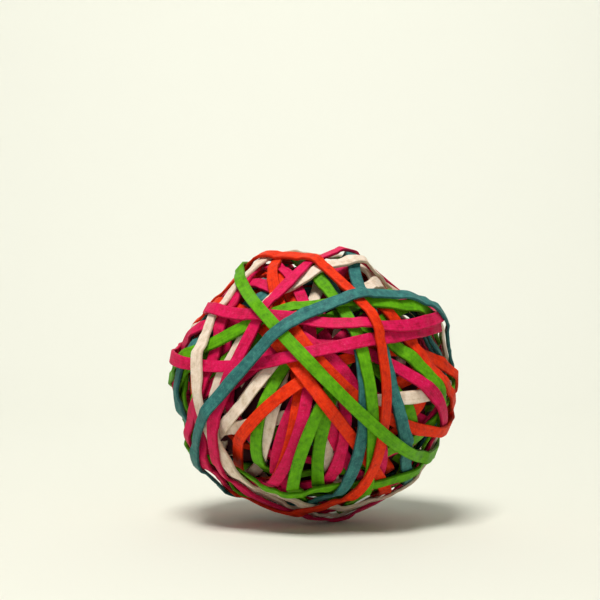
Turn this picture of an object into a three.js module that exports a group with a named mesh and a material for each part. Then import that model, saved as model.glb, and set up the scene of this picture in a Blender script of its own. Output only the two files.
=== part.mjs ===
// A rubber band ball: flat rubber bands of five colours, stretched one over another round a ball.
// The bands on the outside are separate loops. Those wound beneath them are one lumpy mass.
// Millimetres, +Z up. The origin is under the middle of the ball, level with its lowest point.

import * as THREE from "three";
import { mergeVertices } from "three/addons/utils/BufferGeometryUtils.js";

// Driving dimensions
const SURFACE_WIDTH = 63; // the ball's general surface, which the highest bands stand out of
const SURFACE_HEIGHT = 57;
const BAND_WIDTH = 2.8; // a 3.2 mm band, narrowed by the stretch
const BAND_THICKNESS = 0.7;
const INNER_SHARE = 0.7; // the inner winding's size over the ball's, before it is evened out
const THINNEST_WINDING = 0.62; // the same share at the deepest hollow under a heap of bands
const LAY_CLEARANCE = 0.18; // left between a band and what it lies on
const EDGE_CLEARANCE = 0.6; // left beside the edges of a band that is crossed
const SLIPS = [-15, -12, -9, -6, -3, 0, 3, 6, 9, 12, 15]; // offsets tried for a band
const DRIFTS = [-12, -9, -6, -3, 0, 3, 6, 9, 12]; // mm that its far side may be pushed over
const MOST_OFFSET = 15; // further off the middle than this, a loop would slip off the ball

// Fineness
const SECTIONS = 32; // straight stretches in each loop
const ROUGH_CHECKS = 4; // places along a stretch where its height is worked out, for a trial
const FINE_CHECKS = 24; // the same, when it is laid for good
const WINDING_GRID = [40, 20]; // steps round and down the inner winding
const HEAP_POWER = 16; // how much more a band's high places count than its low ones
const EVENING_ROUNDS = 6; // times that the inner winding is evened out
const EVENING_GAIN = 0.8; // share of the height error that each round takes out
const EVENING_SHARPNESS = 25; // how closely the winding follows the heaps
const EVENING_POWER = 30; // how much more the high bands count than the low ones

// Finishes
const RUBBER = { roughness: 0.75, metalness: 0 };
const COLOURS = {
  green: "#62b81a",
  pink: "#e81e6c",
  orange: "#f4400e",
  teal: "#3f8c88",
  natural: "#ebd9c4",
};
const INNER_COLOUR = "#9c3a48";

// Each outer band, from the first laid to the last:
//   colour
//   round    degrees round the ball from the front, + to the right, of a place that it crosses
//   up       degrees above the ball's waist of that place
//   heading  degrees that it climbs to the right there
//   offset   mm that its plane stands off the middle of the ball, where it isn't left to slip
//   swing    mm that it bends out of that plane, to one side ahead of the place and the other behind
const BANDS = [
  ["natural", 72, 10, -42],
  ["orange", 57, 58, -75],
  ["teal", -70, 11, 48],
  ["green", -76, 20, -77],
  ["green", -73, 0, 49],
  ["pink", -55, 59, 83],
  ["orange", -22, 61, 37],
  ["orange", -37, 47, -37],
  ["natural", 78, 48, -71],
  ["pink", 60, 26, -11, 0],
  ["teal", 40, 51, -35, -4],
  ["teal", 53, 53, -52, -4],
  ["natural", 49, -6, 4, -6],
  ["green", 61, -19, 34, -9],
  ["natural", 4, 44, 12],
  ["natural", 6, -29, -82],
  ["pink", 8, -21, -67],
  ["pink", 13, -28, 84],
  ["green", 2, -30, 86],
  ["natural", -18, -13, 75],
  ["green", -23, -14, 74],
  ["natural", -31, -8, 48],
  ["pink", -13, -19, 70],
  ["orange", -10, -23, 73],
  ["pink", -5, -14, 75],
  ["green", -5, -25, 71],
  ["orange", -17, -7, 40],
  ["orange", 60, 6, -50],
  ["green", 51, 7, -48],
  ["pink", 44, 3, -34],
  ["pink", 14, 3, -50],
  ["orange", 7, 4, -45],
  ["teal", 36, -7, -72],
  ["orange", 17, -23, -52, -3],
  ["green", -17, -46, -11],
  ["teal", 20, -34, 83, 9, 0.5],
  ["green", 19, 17, -79, -3],
  ["natural", -19, 47, 54, -2],
  ["pink", -52, 11, 89],
  ["green", 6, 36, 8, 2],
  ["pink", 3, 14, 6, 6, 1.5],
  ["natural", -50, -17, -74, 0, -1.5],
  ["pink", -41, -7, 87, -4, -5],
  ["pink", -10, 27, -4, 15, -0.5],
  ["orange", 28, 11, -84, -6],
  ["green", -4, 11, -46, 3],
  ["teal", -19, 17, 39, -3, 1],
];

const { asin, atan2, cos, sin, PI } = Math;
const { degToRad: radians, lerp, clamp } = THREE.MathUtils;
const SECTION_ANGLE = (2 * PI) / SECTIONS;
const SMALL_ANGLE = 0.001;
const NEARBY = 0.12; // radians from a route, past which its band can't reach
const MEAN_RADIUS = (SURFACE_WIDTH + SURFACE_HEIGHT) / 4; // turns mm across the ball into an angle

// A band's route: the pole of its plane, and the two directions in that plane that its angle
// is counted from. Angle 0 is at the place that its row gives.
function routeOf([colour, round, up, heading, , swing = 0], offset, drift) {
  const [lon, lat, climb] = [round, up, heading].map(radians);
  const place = new THREE.Vector3(sin(lon) * cos(lat), -cos(lon) * cos(lat), sin(lat));
  const east = new THREE.Vector3(cos(lon), sin(lon), 0);
  const north = place.clone().cross(east);
  const side = east.multiplyScalar(cos(climb)).addScaledVector(north, sin(climb));
  const pole = place.clone().cross(side).applyAxisAngle(side, offset / MEAN_RADIUS);
  const front = side.clone().cross(pole);
  return { colour, pole, front, side, offset, swing, drift };
}

// How far the route stands off its plane's great circle at an angle, as a latitude.
function latitude({ offset, swing, drift }, angle) {
  const farness = (1 - cos(angle)) / 2;
  return (offset + swing * sin(2 * angle) + drift * farness ** 2) / MEAN_RADIUS;
}

// The sine and cosine of the angle at which the route crosses its plane.
function slant(route, angle) {
  const climb = latitude(route, angle + SMALL_ANGLE) - latitude(route, angle - SMALL_ANGLE);
  const slope = climb / (2 * SMALL_ANGLE * cos(latitude(route, angle)));
  return [slope / Math.hypot(1, slope), 1 / Math.hypot(1, slope)];
}

// At an angle along the route, the direction out from the ball's middle, and the direction
// across the band.
function bearings(route, angle) {
  const lat = latitude(route, angle);
  const level = new THREE.Vector3()
    .addScaledVector(route.front, cos(angle))
    .addScaledVector(route.side, sin(angle));
  const ahead = level.clone().applyAxisAngle(route.pole, PI / 2);
  const out = level.clone().multiplyScalar(cos(lat)).addScaledVector(route.pole, sin(lat));
  const toPole = level.multiplyScalar(-sin(lat)).addScaledVector(route.pole, cos(lat));
  const [slantSin, slantCos] = slant(route, angle);
  return { out, sideways: toPole.multiplyScalar(slantCos).addScaledVector(ahead, -slantSin) };
}

// The distance from the middle to the straight line between two points, each given by its
// distance and its angle.
function chordRadius(r0, a0, r1, a1, angle) {
  return (r0 * r1 * sin(a1 - a0)) / (r0 * sin(angle - a0) + r1 * sin(a1 - angle));
}

// The radius toward a direction of a ball with the given share of the full size.
function ballRadius(toward, share) {
  const [wide, high] = [(SURFACE_WIDTH / 2) * share, (SURFACE_HEIGHT / 2) * share];
  return 1 / Math.sqrt((toward.x ** 2 + toward.y ** 2) / wide ** 2 + toward.z ** 2 / high ** 2);
}

// The direction of a place on the winding's grid.
function gridDirection(i, j) {
  const [round, down] = [(i / WINDING_GRID[0]) * 2 * PI, (j / WINDING_GRID[1]) * PI];
  return new THREE.Vector3(cos(round) * sin(down), sin(round) * sin(down), cos(down));
}

// How far out the inner winding reaches toward a direction, from the heights on its grid.
function windingRadius(winding, toward) {
  const [columns, rows] = WINDING_GRID;
  const u = ((atan2(toward.y, toward.x) / (2 * PI) + 1) % 1) * columns;
  const v = (Math.acos(toward.z) / PI) * rows;
  const [i, j] = [Math.floor(u), Math.min(Math.floor(v), rows - 1)];
  const row = (n) => lerp(winding[n][i % columns], winding[n][(i + 1) % columns], u - i);
  return lerp(row(j), row(j + 1), v - j);
}

// How far out a laid band reaches toward a direction, or 0 where it doesn't lie.
function bandRadius({ route, radii }, toward) {
  const turned = atan2(toward.dot(route.side), toward.dot(route.front));
  const aside = asin(toward.dot(route.pole)) - latitude(route, turned);
  if (Math.abs(aside) > NEARBY) return 0;

  // The nearest place on the route is a little further along than the direction itself.
  const [slantSin, slantCos] = slant(route, turned);
  const across = aside * slantCos;
  const lat = latitude(route, turned);
  const angle = turned + (across * slantSin) / cos(lat);
  const i = Math.floor(angle / SECTION_ANGLE);
  const outer = [i, i + 1].map(
    (n) => radii[(n + SECTIONS) % SECTIONS] + BAND_THICKNESS * cos(lat),
  );
  const [a0, a1] = [i * SECTION_ANGLE, (i + 1) * SECTION_ANGLE];
  const reach = chordRadius(outer[0], a0, outer[1], a1, angle) / cos(lat);
  const beside = Math.abs(across) * (reach - BAND_THICKNESS) - BAND_WIDTH / 2;
  return beside > EDGE_CLEARANCE ? 0 : reach;
}

// The convex outline round a ring of points, each given by its distance at an even step of
// angle: what a taut loop round them would follow. The points are returned as [distance, angle].
function tautOutline(distances, step) {
  const start = distances.indexOf(Math.max(...distances));
  const kept = [];
  for (let n = start; n <= start + distances.length; n++) {
    const point = [distances[n % distances.length], n * step];
    while (kept.length > 1) {
      const [before, last] = kept.slice(-2);
      if (last[0] > chordRadius(...before, ...point, last[1])) break;
      kept.pop();
    }
    kept.push(point);
  }
  return kept;
}

// Lays a band over the winding and the bands already laid: the distance of its underside from
// the ball's middle at each section, measured in its own plane.
function lay(route, laid, winding, checks = FINE_CHECKS) {
  const step = SECTION_ANGLE / checks;
  const heights = [];
  for (let n = 0; n < SECTIONS * checks; n++) {
    const angle = n * step;
    const { out, sideways } = bearings(route, angle);
    const half = BAND_WIDTH / 2 / windingRadius(winding, out);
    const places = [-half, 0, half].map((side) =>
      out.clone().addScaledVector(sideways, side).normalize(),
    );
    const reach = places.flatMap((place) => [
      windingRadius(winding, place),
      ...laid.map((band) => bandRadius(band, place)),
    ]);
    heights.push((Math.max(...reach) + LAY_CLEARANCE) * cos(latitude(route, angle)));
  }

  const outline = tautOutline(heights, step);
  const first = outline[0][1];
  const radii = [];
  for (let s = 0; s < SECTIONS; s++) {
    const angle = first + ((s * SECTION_ANGLE - first + 4 * PI) % (2 * PI));
    const next = Math.max(1, outline.findIndex((point) => point[1] >= angle));
    radii.push(chordRadius(...outline[next - 1], ...outline[next], angle));
  }

  // A straight stretch cuts the corner between its two ends, so they are moved out together
  // until it clears what lies under it.
  heights.forEach((height, n) => {
    const s = Math.floor(n / checks);
    const t = (s + 1) % SECTIONS;
    const [a0, a1] = [s * SECTION_ANGLE, (s + 1) * SECTION_ANGLE];
    const lift = Math.max(1, height / chordRadius(radii[s], a0, radii[t], a1, n * step));
    radii[s] *= lift;
    radii[t] *= lift;
  });
  return { route, radii };
}

// A band's solid: a ring of rectangular section, with each section moved to its place.
function bandGeometry({ route, radii }) {
  const half = BAND_WIDTH / 2;
  const corners = [
    [1, half],
    [1, -half],
    [2, -half],
    [2, half],
    [1, half],
  ];
  const profile = corners.map(([x, y]) => new THREE.Vector2(x, y));
  const ring = new THREE.LatheGeometry(profile, SECTIONS);
  const position = ring.getAttribute("position");
  for (let v = 0; v < position.count; v++) {
    const section = Math.floor(v / corners.length) % SECTIONS;
    const [layer, across] = corners[v % corners.length];
    const angle = section * SECTION_ANGLE;
    const { out, sideways } = bearings(route, angle);
    const radius = radii[section] / cos(latitude(route, angle)) + (layer - 1) * BAND_THICKNESS;
    const place = out.multiplyScalar(radius).addScaledVector(sideways, across);
    position.setXYZ(v, place.x, place.y, place.z);
  }
  ring.deleteAttribute("normal");
  ring.deleteAttribute("uv");
  const solid = mergeVertices(ring, 1e-4);
  solid.computeVertexNormals();
  return solid;
}

// The bands wound first, as one mass. Its grid meets in one point at the top and bottom.
function innerWinding(winding) {
  const [columns, rows] = WINDING_GRID;
  const geometry = new THREE.SphereGeometry(1, columns, rows);
  const position = geometry.getAttribute("position");
  for (let v = 0; v < position.count; v++) {
    const i = v % (columns + 1);
    const j = Math.floor(v / (columns + 1));
    const place = gridDirection(i, j).multiplyScalar(winding[j][i % columns]);
    position.setXYZ(v, place.x, place.y, place.z);
  }
  geometry.deleteAttribute("normal");
  geometry.deleteAttribute("uv");
  const solid = mergeVertices(geometry, 1e-3);
  solid.computeVertexNormals();
  const mesh = new THREE.Mesh(
    solid,
    new THREE.MeshStandardMaterial({ color: INNER_COLOUR, ...RUBBER }),
  );
  mesh.name = "inner_winding";
  return mesh;
}

// The general height of the laid bands round a direction, the highest counting most.
function surfaceRadius(places, toward) {
  let [sum, total] = [0, 0];
  for (const { out, power } of places) {
    const weight = Math.exp((out.dot(toward) - 1) * EVENING_SHARPNESS);
    sum += weight * power;
    total += weight;
  }
  return (sum / total) ** (1 / EVENING_POWER);
}

// The winding moved in where the bands over it stand too high, and out where they lie too low.
function evened(winding, laid) {
  const places = laid.flatMap(({ route, radii }) =>
    radii.map((radius, s) => {
      const angle = s * SECTION_ANGLE;
      const outer = radius / cos(latitude(route, angle)) + BAND_THICKNESS;
      return { out: bearings(route, angle).out, power: outer ** EVENING_POWER };
    }),
  );
  return winding.map((row, j) => {
    const moved = row.map((radius, i) => {
      const toward = gridDirection(i, j);
      const full = ballRadius(toward, 1);
      const error = full - surfaceRadius(places, toward);
      return clamp(radius + error * EVENING_GAIN, full * THINNEST_WINDING, full - 2 * BAND_THICKNESS);
    });
    const poleRow = j === 0 || j === WINDING_GRID[1];
    const mean = moved.reduce((a, b) => a + b) / moved.length;
    return poleRow ? moved.map(() => mean) : moved;
  });
}

// How high a band lies: its highest places count most.
function heap({ radii }) {
  return radii.reduce((sum, radius) => sum + radius ** HEAP_POWER, 0);
}

// The route on which a band lies lowest, among some that its row allows.
function slipped(routes, laid, winding) {
  const tries = routes.map((route) => lay(route, laid, winding, ROUGH_CHECKS));
  return tries.reduce((a, b) => (heap(b) < heap(a) ? b : a)).route;
}

// Lays all the bands over a winding, each on the route where it lies lowest.
function laidLowest(winding) {
  const laid = [];
  for (const row of BANDS) {
    const offsets = row[4] === undefined ? SLIPS : [row[4]];
    const near = slipped(offsets.map((offset) => routeOf(row, offset, 0)), laid, winding);
    const drifts = DRIFTS.filter((drift) => Math.abs(near.offset + drift) <= MOST_OFFSET);
    const far = slipped(drifts.map((drift) => routeOf(row, near.offset, drift)), laid, winding);
    laid.push(lay(far, laid, winding));
  }
  return laid;
}

// Lays the same bands again, on the same routes, over a winding of another shape.
function relaid(laid, winding) {
  const again = [];
  for (const { route } of laid) again.push(lay(route, again, winding));
  return again;
}

// Winds the ball: first over a plain winding, to find where the bands heap up, and then over
// one that is evened out.
function wound() {
  const [columns, rows] = WINDING_GRID;
  let winding = Array.from({ length: rows + 1 }, (_, j) =>
    Array.from({ length: columns }, (_, i) => ballRadius(gridDirection(i, j), INNER_SHARE)),
  );
  let laid = laidLowest(winding);
  for (let n = 0; n < EVENING_ROUNDS; n++) {
    winding = evened(winding, laid);
    laid = relaid(laid, winding);
  }
  return { winding, laid };
}

function outerBands(laid) {
  return laid.map((band, n) => {
    const { colour } = band.route;
    const mesh = new THREE.Mesh(
      bandGeometry(band),
      new THREE.MeshStandardMaterial({ color: COLOURS[colour], ...RUBBER }),
    );
    mesh.name = `band_${String(n + 1).padStart(2, "0")}_${colour}`;
    return mesh;
  });
}

// The ball, raised so that its lowest point is at the origin's height.
const { winding, laid } = wound();
const ball = new THREE.Group();
ball.add(innerWinding(winding), ...outerBands(laid));
const box = new THREE.Box3().setFromObject(ball, true);
ball.position.set(0, 0, -box.min.z);
const group = new THREE.Group();
group.add(ball);

export default group;
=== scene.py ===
# %% [markdown]
# # A rubber band ball
# A rubber band ball is nothing but closed loops of flat rubber, stretched one over another.
# The fixed frame holds one lumpy mass for the bands wound first and one plain loop for each
# band on the outside. Here each of those loops is laid again, finely enough to bend over
# what it crosses, and the space beneath them is filled with the bands that show in the gaps.

# %% Load the fixed frame
import math

import bmesh
import bpy
import numpy as np
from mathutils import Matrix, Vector
from mathutils.bvhtree import BVHTree
from mathutils.geometry import convex_hull_2d


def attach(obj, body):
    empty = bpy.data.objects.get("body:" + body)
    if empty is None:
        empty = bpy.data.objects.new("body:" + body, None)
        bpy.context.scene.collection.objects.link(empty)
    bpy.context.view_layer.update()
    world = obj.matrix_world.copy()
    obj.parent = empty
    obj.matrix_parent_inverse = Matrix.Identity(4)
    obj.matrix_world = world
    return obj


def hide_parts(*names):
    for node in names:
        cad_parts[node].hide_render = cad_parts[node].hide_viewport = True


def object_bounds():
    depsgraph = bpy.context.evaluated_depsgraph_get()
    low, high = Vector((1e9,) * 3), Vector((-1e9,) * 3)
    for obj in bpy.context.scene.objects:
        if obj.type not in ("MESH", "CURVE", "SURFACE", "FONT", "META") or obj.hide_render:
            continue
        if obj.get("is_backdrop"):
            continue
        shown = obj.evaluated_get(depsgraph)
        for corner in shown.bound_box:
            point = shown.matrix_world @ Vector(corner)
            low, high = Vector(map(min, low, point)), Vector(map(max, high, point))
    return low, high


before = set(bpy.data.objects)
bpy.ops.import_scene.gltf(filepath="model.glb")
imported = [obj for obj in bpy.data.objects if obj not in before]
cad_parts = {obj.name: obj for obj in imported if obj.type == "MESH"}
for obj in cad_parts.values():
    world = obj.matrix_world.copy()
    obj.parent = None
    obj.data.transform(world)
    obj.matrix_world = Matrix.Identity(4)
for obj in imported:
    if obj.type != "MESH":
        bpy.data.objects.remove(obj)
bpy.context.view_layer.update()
MM = 0.001

# %% [markdown]
# ## The middle of the ball
# Every loop runs round the middle, so places on the ball are given as a direction from there
# and a distance, its radius. The frame's origin is under the middle, so only the middle's
# height has to be found: it is the mean height of all the outer loops, which run round it.

# %% Find the middle
outer_nodes = sorted(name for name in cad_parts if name.startswith("band_"))


def node_points(node):
    """The points of a node's mesh, in millimetres, each once."""
    points = np.array([vertex.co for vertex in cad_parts[node].data.vertices]) / MM
    return np.unique(points.round(3), axis=0)


middle = np.array([0, 0, np.mean([node_points(node)[:, 2].mean() for node in outer_nodes])])
print("middle at", middle.round(2), "mm, outer bands:", len(outer_nodes))

# %% [markdown]
# ## Sizes of a band
# A common desk band is an eighth of an inch wide and a thirty-second thick. Stretched round
# the ball it grows narrower. All lengths in this script are in millimetres until a mesh is
# made, because a band is easier to picture as 2.8 than as 0.0028.

# %% Sizes
BAND_WIDTH = 2.8
BAND_THICKNESS = 0.7
EDGE_BEVEL = 0.09  # a cut edge is nearly sharp
STEPS = 1200  # places along a loop where its height is worked out
OUTER_SECTIONS = 240  # pieces that a loop's mesh has round it, a whole number of steps each
INNER_SECTIONS = 150
GAP = 0.04  # left between two bands that touch
angles = np.arange(STEPS) / STEPS * 2 * math.pi

# %% [markdown]
# ## Reading the routes
# A route is the line that a band follows over the ball. A loop stretched on a ball stays near
# a plane, so the route is read as that plane and a small wave to either side of it. The plane
# is the one with the least of the node's points off it, and the wave is a few sines fitted to
# those points. The left and right edges of the band cancel out, which leaves its midline.

# %% Read a route from a node
WAVES = 3


def unit(vectors):
    """The same vectors, one long."""
    return vectors / np.linalg.norm(vectors, axis=-1, keepdims=True)


def wave_terms(at):
    """The sines and cosines that a route's wave is made of, at some angles."""
    terms = [np.ones_like(at)]
    for n in range(1, WAVES + 1):
        terms += [np.cos(n * at), np.sin(n * at)]
    return np.stack(terms, -1)


def route_round(pole, front, latitudes):
    """Directions along a route, from its plane and how far it stands off it at each step."""
    side = np.cross(pole, front)
    level = np.outer(np.cos(angles), front) + np.outer(np.sin(angles), side)
    return level * np.cos(latitudes)[:, None] + np.outer(np.sin(latitudes), pole)


def route_of(node):
    """The route of a band in the frame."""
    points = node_points(node) - middle
    spread = np.linalg.svd(points - points.mean(0))[2]
    front, pole = spread[0], spread[2]
    toward = unit(points)
    at = np.arctan2(toward @ np.cross(pole, front), toward @ front)
    off = np.arcsin(toward @ pole)
    wave = np.linalg.lstsq(wave_terms(at), off, rcond=None)[0]
    return route_round(pole, front, wave_terms(angles) @ wave)


outer_routes = {name: route_of(name) for name in outer_nodes}
print("routes read:", len(outer_routes))

# %% [markdown]
# ## A map of heights
# To lay a band over what is already there, the script keeps a map of the ball, like a map of
# the earth: for each small cell, how far out the surface reaches. The cells are those of a
# cube blown up into a ball, which has no crowded poles, and each is about a quarter of a
# millimetre wide.

# %% Height map
CELLS = 256


def cells_under(toward, cells=CELLS):
    """The number of the map's cell in each direction."""
    axis = np.abs(toward).argmax(-1)

    def part(shift):
        return np.take_along_axis(toward, ((axis + shift) % 3)[..., None], -1)[..., 0]

    depth = part(0)
    across, up = (part(shift) / np.abs(depth) for shift in (1, 2))
    column, row = (
        np.clip(((place + 1) / 2 * cells).astype(int), 0, cells - 1) for place in (across, up)
    )
    return ((axis * 2 + (depth < 0)) * cells + column) * cells + row


def cell_directions(cells):
    """The direction of every cell's middle, in the order of their numbers."""
    place = (np.arange(cells) + 0.5) / cells * 2 - 1
    across, up = (grid.ravel() for grid in np.meshgrid(place, place, indexing="ij"))
    faces = []
    for face in range(6):
        toward = np.empty((cells * cells, 3))
        toward[:, face // 2] = 1 - 2 * (face % 2)
        toward[:, (face // 2 + 1) % 3] = across
        toward[:, (face // 2 + 2) % 3] = up
        faces.append(unit(toward))
    return np.concatenate(faces)


print("cells:", 6 * CELLS * CELLS)

# %% [markdown]
# ## The ground that the outer bands lie on
# The inner mass of the frame was shaped so that all the bands together make an even ball. Its
# surface is measured with rays from the middle, on a coarser map, and each fine cell takes the
# height of the coarse cell it is in.

# %% Measure the inner mass
COARSE_CELLS = 64
WINDING_TO_BANDS = 4.0  # mm from the inner mass out to the outer bands, on average
winding_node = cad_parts["inner_winding"]
winding_tree = BVHTree.FromPolygons(
    [vertex.co for vertex in winding_node.data.vertices],
    [list(face.vertices) for face in winding_node.data.polygons],
)
coarse_directions = cell_directions(COARSE_CELLS)
ray_start = Vector(middle * MM)
ground_coarse = np.array(
    [winding_tree.ray_cast(ray_start, Vector(toward))[3] / MM for toward in coarse_directions]
)
fine_directions = cell_directions(CELLS)
coarse_under = cells_under(fine_directions, COARSE_CELLS)
MEAN_RADIUS = float(ground_coarse.mean()) + WINDING_TO_BANDS
print("inner mass from", ground_coarse.min().round(1), "to", ground_coarse.max().round(1), "mm out")

# %% [markdown]
# ## The ground under a band
# A band's footprint is the strip of cells that it covers. The strip is sampled at points a
# seventh of a millimetre apart, so no cell is missed. When a band is laid, the strip is a
# little wider than the band, so that it keeps clear of the edges of those beside it.

# %% Footprint
SIDE_CLEARANCE = 0.25
LAID_WIDTH = BAND_WIDTH + 2 * SIDE_CLEARANCE
FOOT_POINTS = 21


def directions_across(route):
    """The direction across the band at each step of its route."""
    ahead = np.roll(route, -1, 0) - np.roll(route, 1, 0)
    return unit(np.cross(route, ahead))


def footprint(route, radius, width):
    """The cells under a band, a row of them for each step."""
    beside = np.linspace(-width / 2, width / 2, FOOT_POINTS) / radius
    strip = route[:, None] + directions_across(route)[:, None] * beside[None, :, None]
    return cells_under(unit(strip))


def under_each_side(heights, pick):
    """The greatest or least height under the left and the right half of a band."""
    half = FOOT_POINTS // 2
    return np.stack([pick(heights[:, : half + 1], axis=1), pick(heights[:, half:], axis=1)], 1)


first_strip = footprint(outer_routes[outer_nodes[0]], MEAN_RADIUS, BAND_WIDTH)
print("cells under one band:", len(np.unique(first_strip)))

# %% [markdown]
# ## Stretching a band over the ground
# A stretched band touches only the high places and runs straight between them, as a string
# round a stone does. In the band's plane that is the convex hull of the heights. Each edge of
# the band gets a hull of its own, so a band that crosses another at a slant leans over, as
# rubber does, but no more than it can twist.

# %% Heights near a step
def widest(heights, reach, pick):
    """The greatest or least height within some steps to either side."""
    shifted = [np.roll(heights, step, 0) for step in range(-reach, reach + 1)]
    return pick(shifted, axis=0)


def smoothed(heights, reach):
    """Heights averaged over some steps to either side, the nearest counting most."""
    weights = np.hanning(2 * reach + 3)[1:-1]
    shifted = [np.roll(heights, step, 0) for step in range(-reach, reach + 1)]
    return np.tensordot(weights / weights.sum(), np.array(shifted), 1)


# %% Taut outline
TINY = 1e-9  # keeps a division by zero out


def taut(heights):
    """The heights of a loop stretched over a ring of heights."""
    ring = [(h * math.cos(a), h * math.sin(a)) for h, a in zip(heights, angles)]
    held = np.array(sorted(convex_hull_2d(ring)))
    after = np.searchsorted(held, np.arange(STEPS), side="right")
    last = held[after - 1]
    following = held[after % len(held)]
    start, end = np.array(ring)[last], np.array(ring)[following]
    along = end - start
    reach = start[:, 0] * along[:, 1] - start[:, 1] * along[:, 0]
    facing = np.cos(angles) * along[:, 1] - np.sin(angles) * along[:, 0]
    stretched = np.where(np.abs(facing) > TINY, reach / np.where(facing == 0, 1, facing), heights)
    return np.maximum(stretched, heights)


even_ring = np.full(STEPS, MEAN_RADIUS)
print("taut over an even ring of", round(MEAN_RADIUS, 2), "mm:", taut(even_ring).max().round(2), "mm")

# %% Stretch a band over a surface
MOST_LEAN = 0.9  # mm by which one edge may stand above the other
REACH_STEPS = 6  # a crossing lifts the band this many steps ahead of it
SPAN_STEPS = 20  # a hollow narrower than twice this is spanned straight
MOST_SINK = 0.5  # mm that a band sinks into a wider hollow


def settled(heights):
    """The heights of a stretched loop that has sunk a little into the hollows that it spans."""
    closed = widest(widest(heights, SPAN_STEPS, np.max), SPAN_STEPS, np.min)
    return np.maximum(closed, taut(heights) - MOST_SINK)


def stretched_over(surface, route):
    """The heights of the left and right edges of a band stretched over a surface."""
    below = surface[footprint(route, MEAN_RADIUS, LAID_WIDTH)] + GAP
    sides = under_each_side(below, np.max)
    left, right = (settled(widest(side, REACH_STEPS, np.max)) for side in sides.T)
    left, right = np.maximum(left, right - MOST_LEAN), np.maximum(right, left - MOST_LEAN)
    return np.stack([smoothed(left, REACH_STEPS), smoothed(right, REACH_STEPS)], 1)


# %% [markdown]
# ## Laying the outer bands evenly
# A ball is wound evenly: whoever winds it puts each band where the ball is flat. Here the
# order and the routes are fixed, so the ground gives way instead. The bands are laid, the
# places where they heap up or lie low are found, the ground is lowered or raised there, and
# the bands are laid again, until they make a round ball of the frame's size.

# %% The round ball to aim for
ROUND_WIDTH = 65.4
ROUND_HEIGHT = 60.8


def round_radius(toward):
    """The distance from the middle to the surface of the round ball, which stands on the floor."""
    half = np.array([ROUND_WIDTH, ROUND_WIDTH, ROUND_HEIGHT]) / 2
    start = (middle - np.array([0, 0, ROUND_HEIGHT / 2])) / half
    ahead = toward / half
    square = (ahead**2).sum(-1)
    mixed = ahead @ start
    return (np.sqrt(mixed**2 - square * (start @ start - 1)) - mixed) / square


round_coarse = round_radius(coarse_directions)
print("round ball radius:", round_coarse.min().round(1), "to", round_coarse.max().round(1), "mm")

# %% Lay the outer bands once
outer_cells = {
    name: footprint(route, MEAN_RADIUS, BAND_WIDTH) for name, route in outer_routes.items()
}


def edge_to_edge(heights):
    """A band's heights at each point across its footprint."""
    share = np.linspace(0, 1, FOOT_POINTS)
    return heights[:, :1] * (1 - share) + heights[:, 1:] * share


def lay_outer_bands(ground):
    """Each outer band's edge heights, laid over those before it, and the map of undersides."""
    surface = ground.copy()
    underside = np.full(len(surface), np.inf)
    laid = {}
    for name, route in outer_routes.items():
        laid[name] = stretched_over(surface, route)
        np.maximum.at(surface, outer_cells[name], edge_to_edge(laid[name] + BAND_THICKNESS))
        np.minimum.at(underside, outer_cells[name], edge_to_edge(laid[name]))
    return laid, underside


print("outer bands to lay:", len(outer_cells))

# %% Average the heights of the bands
SAMPLE_STEPS = 12  # steps from one sample of a band's height to the next
MEAN_PARTS = 24  # directions are averaged in this many lots, to save memory
NO_WEIGHT = 1e-12  # keeps a mean defined where no sample is near


def power_mean(toward, samples, blur, power):
    """Heights of samples averaged near each direction, by a power that favours high or low ones."""
    means = []
    for part in np.array_split(toward, MEAN_PARTS):
        near = np.exp((part @ samples[:, :3].T - 1) * (MEAN_RADIUS / blur) ** 2 / 2) + NO_WEIGHT
        means.append(((near @ samples[:, 3] ** power) / near.sum(1)) ** (1 / power))
    return np.concatenate(means)


def band_samples(laid, lift):
    """Some places along the laid bands, each a direction and a height."""
    rows = [np.column_stack([outer_routes[name], laid[name].mean(1) + lift]) for name in laid]
    return np.concatenate([row[::SAMPLE_STEPS] for row in rows])


# %% Even the ball out
EVENING_ROUNDS = 7
EVENING_GAIN = 0.75  # share of a heap by which the ground under it is lowered each time
EVENING_BLUR = 4.0  # mm over which the ground gives way
EVENING_POWER = 40  # how much more the high bands count than the low ones
DEEPEST_GROUND = 0.6  # share of the ball's radius
SHALLOWEST_GROUND = 1.5  # mm under the ball's surface
for evening in range(EVENING_ROUNDS):
    outer_heights, underside = lay_outer_bands(ground_coarse[coarse_under])
    tops = power_mean(
        coarse_directions, band_samples(outer_heights, BAND_THICKNESS), EVENING_BLUR, EVENING_POWER
    )
    heap = (tops - round_coarse).max().round(2)
    print("round", evening, "highest heap above the round ball:", heap, "mm")
    if evening < EVENING_ROUNDS - 1:
        ground_coarse = np.clip(
            ground_coarse + EVENING_GAIN * (round_coarse - tops),
            round_coarse * DEEPEST_GROUND, round_coarse - SHALLOWEST_GROUND,
        )

# %% [markdown]
# ## Filling in beneath them
# The bands under the outer ones were there first, but they are worked out last, from the
# outside in: each new band goes just under everything above it, so the heap is packed closely
# and the bands that can be seen don't pass through each other. Where nothing lies above, a band
# keeps to the general level of the undersides near it. None goes deeper than the core's surface
# needs: past it they may cross, where nothing shows.

# %% General level of the undersides
LEVEL_BLUR = 2.0  # mm over which undersides are averaged
LEVEL_POWER = -3.0  # the low ones count more
level = power_mean(
    coarse_directions, band_samples(outer_heights, 0), LEVEL_BLUR, LEVEL_POWER
)[coarse_under]
ceiling = np.minimum(underside, level)
print("level from", level.min().round(1), "to", level.max().round(1), "mm")
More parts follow.
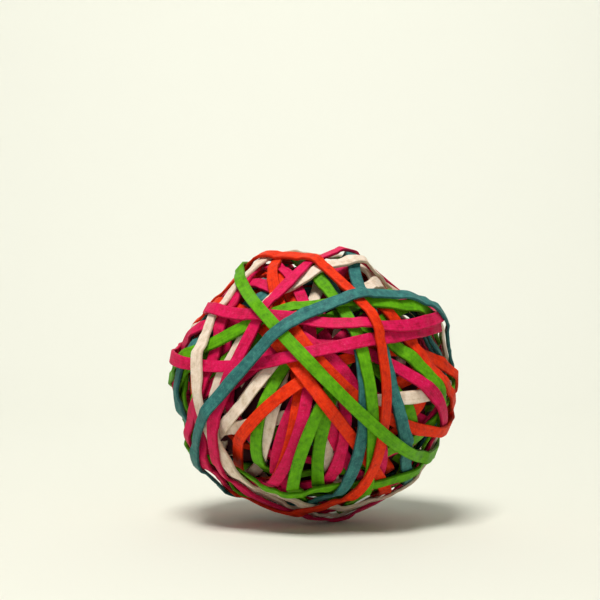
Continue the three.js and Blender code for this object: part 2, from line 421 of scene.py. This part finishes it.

# %% [markdown]
# ## Bands placed one by one and by chance
# A few bands that show plainly in the gaps are given by a place that they cross and their
# slope there. The rest fall as they would on a real ball: of some random loops, the one that
# covers the emptiest places is kept, with a seeded generator so that each run is the same.

# %% Routes of the inner bands
# colour, degrees round from the front, degrees up, degrees of climb to the right
PLACED = [
    ["teal", 34, 13, 54],
    ["natural", -76, -44, 43],
    ["teal", -80, -29, 43],
    ["green", 31, 47, 66],
    ["orange", 51, -43, -36],
    ["pink", 48, -14, -20],
    ["pink", -4, -43, 86],
    ["green", -67, -13, -63],
    ["teal", -63, -7, -78],
    ["teal", -34, 60, 65],
    ["teal", -25, 49, 46],
]
INNER_COUNT = 110
TRIES = 10
MOST_SLIP = 0.28  # radians that a loop's plane may stand off the middle
SLOW_WAVE = 0.03  # radians of wave, twice round the ball, and half as much three times round
chance = np.random.default_rng(31)
COLOURS = ["pink", "orange", "green", "natural", "teal"]


def route_through(round_angle, up_angle, climb_angle):
    """A route that crosses a place on the ball at a slope."""
    lon, lat, climb = (math.radians(a) for a in (round_angle, up_angle, climb_angle))
    place = np.array([math.sin(lon) * math.cos(lat), -math.cos(lon) * math.cos(lat), math.sin(lat)])
    east = np.array([math.cos(lon), math.sin(lon), 0])
    north = np.cross(place, east)
    side = east * math.cos(climb) + north * math.sin(climb)
    pole = np.cross(place, side)
    return route_round(pole, place, np.zeros(STEPS))


def random_route():
    """A route anywhere on the ball, with a slow wave in it."""
    pole, other = unit(chance.normal(size=(2, 3)))
    front = unit(np.cross(pole, other))
    slip = chance.uniform(-MOST_SLIP, MOST_SLIP)
    twice_sine, twice_cosine, thrice_sine, thrice_cosine = chance.normal(scale=SLOW_WAVE, size=4)
    twice = twice_sine * np.sin(2 * angles) + twice_cosine * np.cos(2 * angles)
    thrice = thrice_sine * np.sin(3 * angles) + thrice_cosine * np.cos(3 * angles)
    return route_round(pole, front, slip + (twice + thrice / 2))


print("by hand:", len(PLACED), "bands, by chance:", INNER_COUNT - len(PLACED))

# %% Lay the inner bands, from the outside in
PRESS_STEPS = 13  # an inner band bends down this many steps ahead of one that presses on it
DEEPEST_INNER = 4.2  # mm under the general level, where the core hides what lies deeper


def tucked_under(ceiling, route):
    """The heights of the left and right edges of a band tucked under a ceiling."""
    above = ceiling[footprint(route, MEAN_RADIUS, LAID_WIDTH)] - GAP - BAND_THICKNESS
    low = widest(under_each_side(above, np.min), PRESS_STEPS, np.min)
    lean = np.clip(low - low.mean(1, keepdims=True), -MOST_LEAN / 2, MOST_LEAN / 2)
    low = low.min(1, keepdims=True) + lean - lean.max(1, keepdims=True)
    deepest = level[cells_under(route)][:, None] - DEEPEST_INNER
    return smoothed(np.maximum(low, deepest), PRESS_STEPS)


inner_bands = []
for n in range(INNER_COUNT):
    if n < len(PLACED):
        colour, *place = PLACED[n]
        route = route_through(*place)
    else:
        colour = COLOURS[chance.integers(len(COLOURS))]
        tries = [random_route() for _ in range(TRIES)]
        route = max(tries, key=lambda r: ceiling[footprint(r, MEAN_RADIUS, BAND_WIDTH)].mean())
    heights = tucked_under(ceiling, route)
    inner_bands.append((colour, route, heights))
    cells = footprint(route, MEAN_RADIUS, BAND_WIDTH)
    np.minimum.at(ceiling, cells, edge_to_edge(heights))
print("inner bands:", len(inner_bands), "deepest", ceiling.min().round(1), "mm")

# %% [markdown]
# ## The mesh of a band
# All bands share one form: a ring with a rectangular section whose corners are very slightly
# bevelled. The section starts as a square face, is scaled and bevelled, and is spun round
# into a ring. Two more cuts across its width keep the wide faces flat when they are shaded
# smooth. Each band is a copy of the ring, moved onto its route.

# %% Ring template
RING_RADIUS = 100.0
FLAT_SHARE = 0.76  # part of the width that is dead flat


def ring_template(sections, bevelled):
    """A ring of a band's section, with its UV along and across the band."""
    bm = bmesh.new()
    bmesh.ops.create_grid(bm, x_segments=1, y_segments=1, size=0.5)
    bmesh.ops.scale(bm, vec=(BAND_THICKNESS, BAND_WIDTH, 1), verts=bm.verts)
    if bevelled:
        bmesh.ops.bevel(
            bm, geom=bm.verts[:], offset=EDGE_BEVEL, offset_type="OFFSET", segments=1,
            profile=0.5, affect="VERTICES", material=-1,
        )
        for side in (-1, 1):
            bmesh.ops.bisect_plane(
                bm, geom=bm.verts[:] + bm.edges[:] + bm.faces[:],
                plane_co=(0, side * BAND_WIDTH / 2 * FLAT_SHARE, 0), plane_no=(0, 1, 0),
            )
    bmesh.ops.dissolve_faces(bm, faces=bm.faces[:])
    bmesh.ops.delete(bm, geom=bm.faces[:], context="FACES_ONLY")
    upright = Vector((0, 1, 0)).rotation_difference(Vector((0, 0, 1))).to_matrix()
    bmesh.ops.rotate(bm, cent=(0, 0, 0), verts=bm.verts, matrix=upright)
    bmesh.ops.translate(bm, vec=(RING_RADIUS + BAND_THICKNESS / 2, 0, 0), verts=bm.verts)
    bmesh.ops.spin(
        bm, geom=bm.verts[:] + bm.edges[:], cent=(0, 0, 0), axis=(0, 0, 1),
        angle=2 * math.pi, steps=sections, use_merge=True,
    )
    bmesh.ops.recalc_face_normals(bm, faces=bm.faces)
    uv = bm.loops.layers.uv.new("band")
    for face in bm.faces:
        corners = [loop.vert.co for loop in face.loops]
        around = [math.atan2(co.y, co.x) / (2 * math.pi) % 1 for co in corners]
        for loop, turn in zip(face.loops, around):
            if max(around) - turn > 0.5:
                turn += 1
            loop[uv].uv = (turn, loop.vert.co.z / BAND_WIDTH + 0.5)
        face.smooth = True
    mesh = bpy.data.meshes.new("ring")
    bm.to_mesh(mesh)
    bm.free()
    return mesh


templates = {
    OUTER_SECTIONS: ring_template(OUTER_SECTIONS, True),
    INNER_SECTIONS: ring_template(INNER_SECTIONS, False),
}
for sections, mesh in templates.items():
    print(sections, "sections:", len(mesh.vertices), "vertices,", len(mesh.polygons), "faces")

# %% Stand the ball on the floor
# The heights are those of the faces turned inwards, and the lowest band is one thickness lower.
lowest = min(
    (middle[2] + route[:, 2:] * outer_heights[name]).min() for name, route in outer_routes.items()
)
stand = middle - np.array([0, 0, lowest - BAND_THICKNESS])
print("ball let down by", round(lowest - BAND_THICKNESS, 2), "mm")

# %% Move a ring onto its route
WIDTH_SWAY = 0.05  # share by which the width comes and goes


def band_mesh(name, sections, route, heights):
    """A copy of the ring, laid along a route at the heights of its two edges."""
    mesh = templates[sections].copy()
    mesh.name = name
    flat = np.empty(len(mesh.vertices) * 3)
    mesh.vertices.foreach_get("co", flat)
    ring = flat.reshape(-1, 3)
    turn = np.arctan2(ring[:, 1], ring[:, 0]) / (2 * math.pi) % 1
    step = np.rint(turn * sections).astype(int) % sections * (STEPS // sections)
    layer = np.hypot(ring[:, 0], ring[:, 1]) - RING_RADIUS
    phase = chance.uniform(0, 2 * math.pi, 2)
    sway = 1 + WIDTH_SWAY * (np.sin(3 * angles + phase[0]) + np.sin(7 * angles + phase[1])) / 2
    share = ring[:, 2] / BAND_WIDTH + 0.5
    radius = heights[step, 0] * (1 - share) + heights[step, 1] * share + layer
    across = directions_across(route)[step] * (ring[:, 2] * sway[step])[:, None]
    placed = route[step] * radius[:, None] + across + stand
    mesh.vertices.foreach_set("co", (placed * MM).ravel())
    mesh.update()
    return mesh


# %% [markdown]
# ## Rubber
# The bands are vulcanised natural rubber, extruded as a tube, dusted with talc and cut into
# rings. So the wide faces are matte with fine draw lines along them, the talc leaves soft
# mottling and pale specks, and the cut edges are a little cleaner and darker. Each colour is
# the same rubber with another pigment. The undyed one has tan specks, which are in the rubber.

# %% Colour and node helpers
def linear(hex_colour):
    """An sRGB hex colour as linear RGBA."""
    parts = [int(hex_colour[i : i + 2], 16) / 255 for i in (1, 3, 5)]
    return [c / 12.92 if c <= 0.04045 else ((c + 0.055) / 1.055) ** 2.4 for c in parts] + [1.0]


def add_node(tree, kind, settings=None, inputs=None):
    """A node with its settings, and its inputs set to values or linked to outputs."""
    node = tree.nodes.new(kind)
    for key, value in (settings or {}).items():
        setattr(node, key, value)
    for key, value in (inputs or {}).items():
        if isinstance(value, bpy.types.NodeSocket):
            tree.links.new(value, node.inputs[key])
        else:
            node.inputs[key].default_value = value
    return node


# %% Extruded rubber
MOTTLE = 1 / (1.4 * MM)  # talc lies in clouds about 1.4 mm across
SPECK = 1 / (0.4 * MM)  # and in specks of 0.4 mm
DRAW_LINES = 9  # across the width of a band
DRAW_LENGTHS = 14  # how often a draw line changes on its way round
DRAW_SHARE = 0.4  # what the draw lines add to the tone, when the clouds add 1
SHADE_AT = 0.36  # the tones at which the pigment is darkest, plain and lightest
BASE_AT = 0.66
LIGHT_AT = 0.95
SPECKS_FROM = 0.56  # the noise levels between which a speck comes up
SPECKS_TO = 0.72
MOST_TALC = 0.3  # how much of a speck is talc
CUT_FROM = 0.44  # share of the width, from the middle, at which the cut edge starts
CUT_SHADE = 0.45  # how far the cut edge goes to the shade
SMOOTHEST = 0.5  # roughness where the talc is thin, and where it is thick
ROUGHEST = 0.72
RELIEF = 0.08 * MM  # depth of the draw lines and specks
RELIEF_STRENGTH = 0.35
RUBBER_IOR = 1.52
RUBBER_SPECULAR = 0.15  # the talc takes most of the shine
SCATTER_DEPTH = 0.4 * MM


def extruded_rubber(name, base, light, shade, speck, translucence):
    """Talc-dusted natural rubber of one pigment, or, for the core, of a dark painted shade."""
    material = bpy.data.materials.new(name)
    material.use_nodes = True
    tree = material.node_tree
    tree.nodes.clear()
    place = add_node(tree, "ShaderNodeTexCoord")
    clouds = add_node(tree, "ShaderNodeTexNoise", {}, {
        "Vector": place.outputs["Object"], "Scale": MOTTLE, "Detail": 3.0, "Roughness": 0.6})
    specks = add_node(tree, "ShaderNodeTexNoise", {}, {
        "Vector": place.outputs["Object"], "Scale": SPECK, "Detail": 2.0, "Roughness": 0.7})
    stretch = add_node(tree, "ShaderNodeMapping", {"vector_type": "POINT"}, {
        "Vector": place.outputs["UV"], "Scale": (DRAW_LENGTHS, DRAW_LINES, 1)})
    lines = add_node(tree, "ShaderNodeTexNoise", {}, {
        "Vector": stretch.outputs["Vector"], "Scale": 1.0, "Detail": 2.0})
    tone = add_node(tree, "ShaderNodeMath", {"operation": "MULTIPLY_ADD"}, {
        0: lines.outputs["Fac"], 1: DRAW_SHARE, 2: clouds.outputs["Fac"]})
    body = add_node(tree, "ShaderNodeValToRGB", {}, {"Fac": tone.outputs[0]})
    darkest, lightest = body.color_ramp.elements
    darkest.color = linear(shade)
    darkest.position = SHADE_AT
    lightest.color = linear(light)
    lightest.position = LIGHT_AT
    body.color_ramp.elements.new(BASE_AT).color = linear(base)
    talc = add_node(tree, "ShaderNodeMapRange", {}, {
        "Value": specks.outputs["Fac"], "From Min": SPECKS_FROM, "From Max": SPECKS_TO,
        "To Max": MOST_TALC})
    dusted = add_node(tree, "ShaderNodeMix", {"data_type": "RGBA"}, {
        "Factor": talc.outputs["Result"], "A": body.outputs["Color"], "B": linear(speck)})
    band_uv = add_node(tree, "ShaderNodeSeparateXYZ", {}, {"Vector": place.outputs["UV"]})
    off_middle = add_node(tree, "ShaderNodeMath", {"operation": "SUBTRACT"}, {
        0: band_uv.outputs["Y"], 1: 0.5})
    beside = add_node(tree, "ShaderNodeMath", {"operation": "ABSOLUTE"}, {0: off_middle.outputs[0]})
    edge = add_node(tree, "ShaderNodeMapRange", {}, {
        "Value": beside.outputs[0], "From Min": CUT_FROM, "From Max": 0.5, "To Max": CUT_SHADE})
    cut = add_node(tree, "ShaderNodeMix", {"data_type": "RGBA"}, {
        "Factor": edge.outputs["Result"], "A": dusted.outputs["Result"], "B": linear(shade)})
    rough = add_node(tree, "ShaderNodeMapRange", {}, {
        "Value": clouds.outputs["Fac"], "To Min": SMOOTHEST, "To Max": ROUGHEST})
    relief = add_node(tree, "ShaderNodeMath", {"operation": "ADD"}, {
        0: lines.outputs["Fac"], 1: specks.outputs["Fac"]})
    bump = add_node(tree, "ShaderNodeBump", {}, {
        "Height": relief.outputs[0], "Strength": RELIEF_STRENGTH, "Distance": RELIEF})
    shader = add_node(tree, "ShaderNodeBsdfPrincipled", {}, {
        "Base Color": cut.outputs["Result"], "Roughness": rough.outputs["Result"],
        "Normal": bump.outputs["Normal"], "IOR": RUBBER_IOR,
        "Specular IOR Level": RUBBER_SPECULAR, "Subsurface Weight": translucence,
        "Subsurface Scale": SCATTER_DEPTH, "Subsurface Radius": (1.0, 0.6, 0.4)})
    add_node(tree, "ShaderNodeOutputMaterial", {}, {"Surface": shader.outputs["BSDF"]})
    return material


# %% The five pigments
rubber = {
    "green": extruded_rubber(
        "extruded_rubber_green", base="#569C04", light="#6CB60A", shade="#386C02",
        speck="#84BC3C", translucence=0.03,
    ),
    "pink": extruded_rubber(
        "extruded_rubber_pink", base="#D00C4C", light="#E41660", shade="#98062E",
        speck="#E86490", translucence=0.03,
    ),
    "orange": extruded_rubber(
        "extruded_rubber_orange", base="#DE2C02", light="#F43C06", shade="#A21A00",
        speck="#F47048", translucence=0.03,
    ),
    "teal": extruded_rubber(
        "extruded_rubber_teal", base="#316E6C", light="#458C84", shade="#1E4C52",
        speck="#74A49C", translucence=0.03,
    ),
    "natural": extruded_rubber(
        "extruded_rubber_undyed", base="#E6D2BE", light="#F4E4D6", shade="#C0A98C",
        speck="#B89A7C", translucence=0.08,
    ),
}
print("rubbers:", ", ".join(rubber))

# %% Make the outer bands
def piece(name, mesh, material, slot, *replaced):
    """A finished piece that rides on the ball and stands for its nodes."""
    mesh.materials.clear()
    mesh.materials.append(material)
    obj = bpy.data.objects.new(name, mesh)
    bpy.context.scene.collection.objects.link(obj)
    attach(obj, "root")
    if replaced:
        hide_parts(*replaced)


for name, route in outer_routes.items():
    colour = name.split("_")[2]
    mesh = band_mesh(name + "_loop", OUTER_SECTIONS, route, outer_heights[name])
    piece(name + "_loop", mesh, rubber[colour], "rubber_" + colour, name)
print("outer loops made:", len(outer_routes))

# %% Make the inner bands, joined by colour
for colour in COLOURS:
    bm = bmesh.new()
    for band_colour, route, heights in inner_bands:
        if band_colour == colour:
            loop = band_mesh("inner_loop", INNER_SECTIONS, route, heights)
            bm.from_mesh(loop)
            bpy.data.meshes.remove(loop)
    mesh = bpy.data.meshes.new("inner_" + colour)
    bm.to_mesh(mesh)
    bm.free()
    piece("inner_loops_" + colour, mesh, rubber[colour], "rubber_" + colour)
    print("inner", colour, len(mesh.polygons), "faces")

# %% [markdown]
# ## The core
# Below the bands that can be seen lie many more. In the deepest gaps they are only a dark mass, so
# they are one lumpy ball that follows the undersides of the lowest bands.
# Its dark colours are painted shade, the shade that fills the deep gaps, not a pigment of the bands
# there.

# %% Core
CORE_DEPTH = 2.7  # mm under the general level
bm = bmesh.new()
bmesh.ops.create_icosphere(bm, subdivisions=5, radius=1)
core_directions = unit(np.array([vertex.co for vertex in bm.verts]))
core_level = level[cells_under(core_directions)] - CORE_DEPTH
for vertex, toward, radius in zip(bm.verts, core_directions, core_level):
    vertex.co = Vector((toward * radius + stand) * MM)
bmesh.ops.smooth_vert(
    bm, verts=bm.verts, factor=0.5, use_axis_x=True, use_axis_y=True, use_axis_z=True
)
for face in bm.faces:
    face.smooth = True
core_mesh = bpy.data.meshes.new("core")
bm.to_mesh(core_mesh)
bm.free()
# The core's colours are painted shade: as dark as the deep gaps look in shade, not the pigment of the
# bands there.
core_painted_shade = extruded_rubber(
    "deep_gap_painted_shade", base="#5A2430", light="#6A3038", shade="#3A161E",
    speck="#7A4048", translucence=0.0,
)
piece("inner_core", core_mesh, core_painted_shade, "rubber_inner", "inner_winding")
print("core faces:", len(core_mesh.polygons))

# %% [markdown]
# ## The studio
# A ball on a pale sweep: the floor turns up behind it in one soft curve, so no line cuts
# across the picture. One wide lamp above and in front gives the bright top and the shadow
# beneath, a weak one fills the sides, and one behind the ball keeps the backdrop pale.

# %% Floor and backdrop
SWEEP_WIDTH = 3.0
SWEEP_HEIGHT = 2.0
SWEEP_RADIUS = 0.35
SWEEP_FORWARD = 0.9  # so that the ball stands well in front of the curve
bm = bmesh.new()
bmesh.ops.create_grid(bm, x_segments=1, y_segments=1, size=SWEEP_WIDTH / 2)
back_edge = max(bm.edges, key=lambda e: sum(v.co.y for v in e.verts))
risen = bmesh.ops.extrude_edge_only(bm, edges=[back_edge])["geom"]
wall_verts = [g for g in risen if isinstance(g, bmesh.types.BMVert)]
bmesh.ops.translate(bm, vec=(0, 0, SWEEP_HEIGHT), verts=wall_verts)
bmesh.ops.bevel(
    bm, geom=[back_edge], offset=SWEEP_RADIUS, offset_type="OFFSET", segments=16,
    profile=0.5, affect="EDGES", material=-1,
)
bmesh.ops.translate(bm, vec=(0, -SWEEP_FORWARD, 0), verts=bm.verts)
for face in bm.faces:
    face.smooth = True
sweep_mesh = bpy.data.meshes.new("sweep")
bm.to_mesh(sweep_mesh)
bm.free()
paper = bpy.data.materials.new("matte_paper")
paper.use_nodes = True
paper_shader = paper.node_tree.nodes["Principled BSDF"]
paper_shader.inputs["Base Color"].default_value = linear("#E6E7DD")
paper_shader.inputs["Roughness"].default_value = 0.9
sweep_mesh.materials.append(paper)
sweep = bpy.data.objects.new("sweep", sweep_mesh)
bpy.context.scene.collection.objects.link(sweep)
sweep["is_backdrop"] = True
print("sweep faces:", len(sweep_mesh.polygons))

# %% Lamps
BACKDROP_TILT = math.radians(60)  # from straight down toward the curve of the sweep
WORLD_STRENGTH = 0.22


def lamp(name, place, size, power, tint):
    """A square lamp that faces the ball."""
    light = bpy.data.lights.new(name, "AREA")
    light.shape = "SQUARE"
    light.size = size
    light.energy = power
    light.color = linear(tint)[:3]
    obj = bpy.data.objects.new(name, light)
    obj.location = place
    aim = Vector(middle * MM) - obj.location
    obj.rotation_euler = aim.to_track_quat("-Z", "Y").to_euler()
    bpy.context.scene.collection.objects.link(obj)
    return obj


lamp("key_lamp", place=(-0.1, -0.36, 0.84), size=0.3, power=8.0, tint="#FFFCF6")
lamp("fill_lamp", place=(0.45, -0.75, 0.2), size=0.5, power=0.25, tint="#F6FAFF")
backdrop_lamp = lamp("backdrop_lamp", place=(0.0, 0.2, 0.5), size=0.3, power=0.9, tint="#FFFFFC")
backdrop_lamp.rotation_euler = (BACKDROP_TILT, 0, 0)
world = bpy.data.worlds.new("studio")
world.use_nodes = True
world.node_tree.nodes["Background"].inputs["Color"].default_value = linear("#F2F4F0")
world.node_tree.nodes["Background"].inputs["Strength"].default_value = WORLD_STRENGTH
bpy.context.scene.world = world
bpy.context.scene.view_settings.view_transform = "Standard"

# %% [markdown]
# ## The camera
# A long lens from the front, a touch above level, so that the ball keeps its round outline.
# The ball sits low in the picture.

# %% Camera
LENS = 135.0
SENSOR = 36.0
PICTURE_WIDTH = 140.0  # mm across at the ball
ELEVATION = 2.5
AIM = np.array([-3.0, 0.0, 19.7])  # mm from the middle of the ball's box
made_low, made_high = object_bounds()
box_middle = np.array((made_low + made_high) / 2) / MM
target = Vector((box_middle + AIM) * MM)
distance = PICTURE_WIDTH * MM * LENS / SENSOR
tilt = math.radians(ELEVATION)
camera_data = bpy.data.cameras.new("camera")
camera_data.lens = LENS
camera_data.sensor_width = SENSOR
camera_data.clip_start = 0.01
camera = bpy.data.objects.new("camera", camera_data)
camera.location = target + Vector((0, -math.cos(tilt), math.sin(tilt))) * distance
camera.rotation_euler = (target - camera.location).to_track_quat("-Z", "Y").to_euler()
bpy.context.scene.collection.objects.link(camera)
bpy.context.scene.camera = camera
print("camera", round(distance, 3), "m away")

# %% Sizes, and finish
print("visual box in mm:", [round(side / MM, 1) for side in made_high - made_low])
